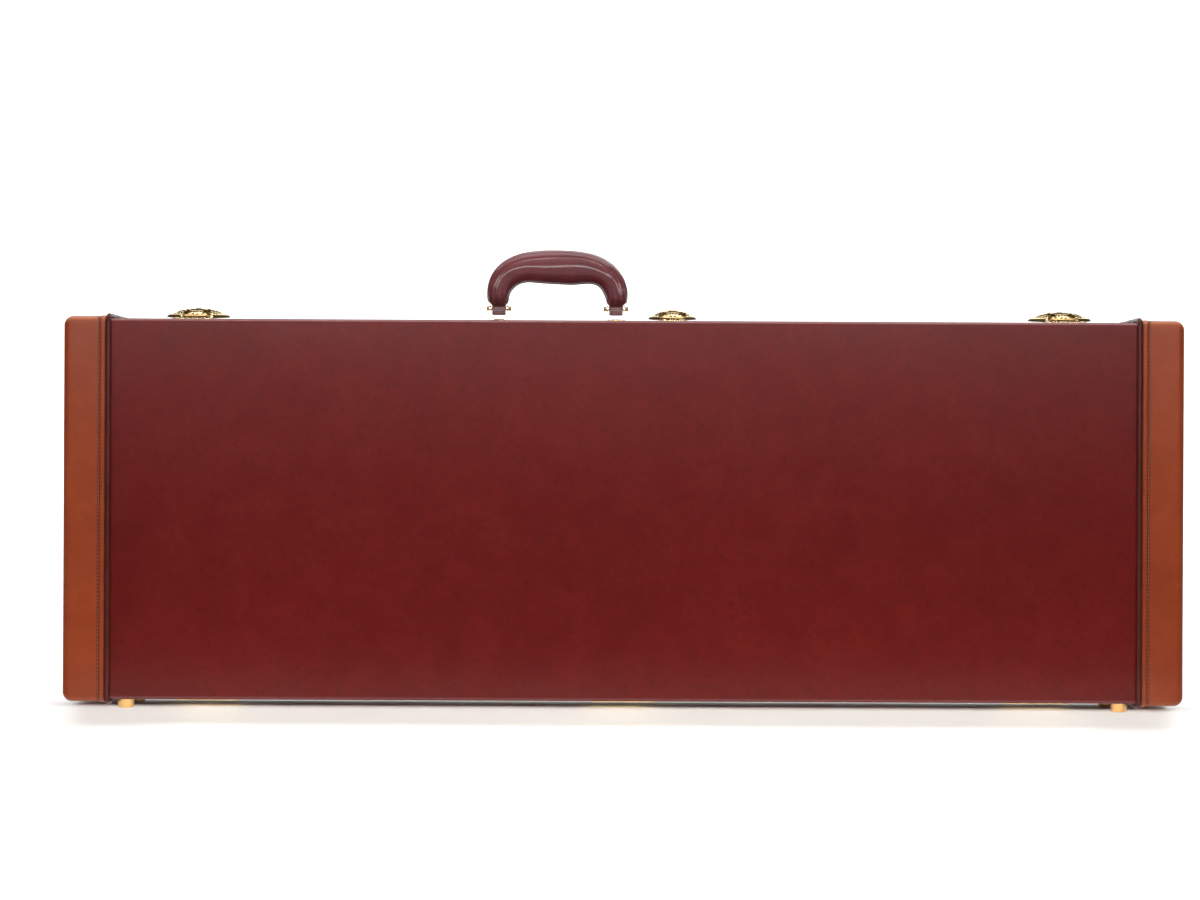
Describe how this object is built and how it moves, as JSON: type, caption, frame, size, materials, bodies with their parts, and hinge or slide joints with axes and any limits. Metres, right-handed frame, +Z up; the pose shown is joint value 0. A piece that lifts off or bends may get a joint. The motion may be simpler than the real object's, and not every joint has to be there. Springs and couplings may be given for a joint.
{
  "type": "guitar case",
  "caption": "Rectangular hardshell guitar case with leather ends, piping, domed draw latches, a folding carry handle and a padded, fitted inside.",
  "frame": {"origin": "under the middle of the case, on the plane of its feet", "axes": "+Z up from the feet to the handle, X along the case, +Y from the lid half towards the body half"},
  "size_m": [1.067, 0.12, 0.4433],
  "materials": {
    "leatherette": "satin",
    "tan_leather": "satin",
    "welt_leather": "satin",
    "handle_leather": "gloss",
    "brass": "polished",
    "plywood": "matte",
    "plush": "matte",
    "padding": "matte",
    "lid_panel": "matte"
  },
  "bodies": {
    "case_body": {"body_rim": "plywood", "body_back_panel": "plywood", "body_cover": "leatherette", "body_end_cap_left": "tan_leather", "body_end_cap_right": "tan_leather", "body_welt_left": "welt_leather", "body_welt_right": "welt_leather", "body_rim_lip": "plywood", "body_lining": "plush", "guitar_bed": "padding", "neck_cradle": "padding", "neck_side_pad": "padding", "headstock_pad": "padding", "accessory_box": "lid_panel", "feet_body": "brass", "foot_screws_body": "brass", "hinge_leaves_body": "brass", "hinge_rivets_body": "brass", "hinge_pins": "brass", "latch_base_left": "brass", "latch_base_middle": "brass", "latch_base_right": "brass", "latch_pins": "brass", "latch_rivets": "brass", "handle_brackets": "brass", "bracket_rivets": "brass"},
    "lid": {"lid_rim": "plywood", "lid_front_panel": "plywood", "lid_cover": "leatherette", "lid_end_cap_left": "tan_leather", "lid_end_cap_right": "tan_leather", "lid_welt_left": "welt_leather", "lid_welt_right": "welt_leather", "lid_lining": "plush", "lid_pad": "padding", "feet_lid": "brass", "foot_screws_lid": "brass", "hinge_leaves_lid": "brass", "hinge_rivets_lid": "brass", "latch_keeper_left": "brass", "latch_keeper_middle": "brass", "latch_keeper_right": "brass", "keeper_rivets": "brass"},
    "accessory_flap": {"accessory_lid": "lid_panel", "accessory_pull_tab": "tan_leather"},
    "handle_links": {"handle_loops": "brass"},
    "handle": {"handle_grip": "handle_leather", "handle_pins": "brass"},
    "lock": {"lock_cylinder": "brass"},
    "latch_lever_left": {"latch_lever_left": "brass"},
    "latch_bail_left": {"latch_bail_left": "brass"},
    "latch_lever_middle": {"latch_lever_middle": "brass"},
    "latch_bail_middle": {"latch_bail_middle": "brass"},
    "latch_lever_right": {"latch_lever_right": "brass"},
    "latch_bail_right": {"latch_bail_right": "brass"}
  },
  "joints": [
    {"name": "lid_hinge", "type": "hinge", "parent": "case_body", "child": "lid", "pos_m": [0, -0.014, 0.0069], "axis": [1, 0, 0], "range_deg": [0, 100]},
    {"name": "accessory_hinge", "type": "hinge", "parent": "case_body", "child": "accessory_flap", "pos_m": [-0.183, -0.0058, 0.0215], "axis": [1, 0, 0], "range_deg": [0, 90]},
    {"name": "loop_swing", "type": "hinge", "parent": "case_body", "child": "handle_links", "pos_m": [-0.0647, 0.014, 0.3741], "axis": [1, 0, 0], "range_deg": [-35, 35]},
    {"name": "handle_swing", "type": "hinge", "parent": "handle_links", "child": "handle", "pos_m": [-0.0647, 0.014, 0.386], "axis": [1, 0, 0], "range_deg": [-45, 45]},
    {"name": "lock_turn", "type": "hinge", "parent": "latch_lever_middle", "child": "lock", "pos_m": [0.047, 0.009, 0.383], "axis": [0, 0, 1], "range_deg": [0, 90]},
    {"name": "latch_left_lever_flip", "type": "hinge", "parent": "case_body", "child": "latch_lever_left", "pos_m": [-0.413, -0.007, 0.3774], "axis": [1, 0, 0], "range_deg": [0, 90]},
    {"name": "latch_left_bail_swing", "type": "hinge", "parent": "latch_lever_left", "child": "latch_bail_left", "pos_m": [-0.413, 0, 0.3758], "axis": [1, 0, 0], "range_deg": [-90, 0]},
    {"name": "latch_middle_lever_flip", "type": "hinge", "parent": "case_body", "child": "latch_lever_middle", "pos_m": [0.047, -0.007, 0.3774], "axis": [1, 0, 0], "range_deg": [0, 90]},
    {"name": "latch_middle_bail_swing", "type": "hinge", "parent": "latch_lever_middle", "child": "latch_bail_middle", "pos_m": [0.047, 0, 0.3758], "axis": [1, 0, 0], "range_deg": [-90, 0]},
    {"name": "latch_right_lever_flip", "type": "hinge", "parent": "case_body", "child": "latch_lever_right", "pos_m": [0.423, -0.007, 0.3774], "axis": [1, 0, 0], "range_deg": [0, 90]},
    {"name": "latch_right_bail_swing", "type": "hinge", "parent": "latch_lever_right", "child": "latch_bail_right", "pos_m": [0.423, 0, 0.3758], "axis": [1, 0, 0], "range_deg": [-90, 0]}
  ],
  "couplings": [
    {"joint": "accessory_hinge", "follows": "lid_hinge", "ratio": 0.9},
    {"joint": "latch_left_bail_swing", "follows": "latch_left_lever_flip", "ratio": -1},
    {"joint": "latch_middle_bail_swing", "follows": "latch_middle_lever_flip", "ratio": -1},
    {"joint": "latch_right_bail_swing", "follows": "latch_right_lever_flip", "ratio": -1}
  ]
}
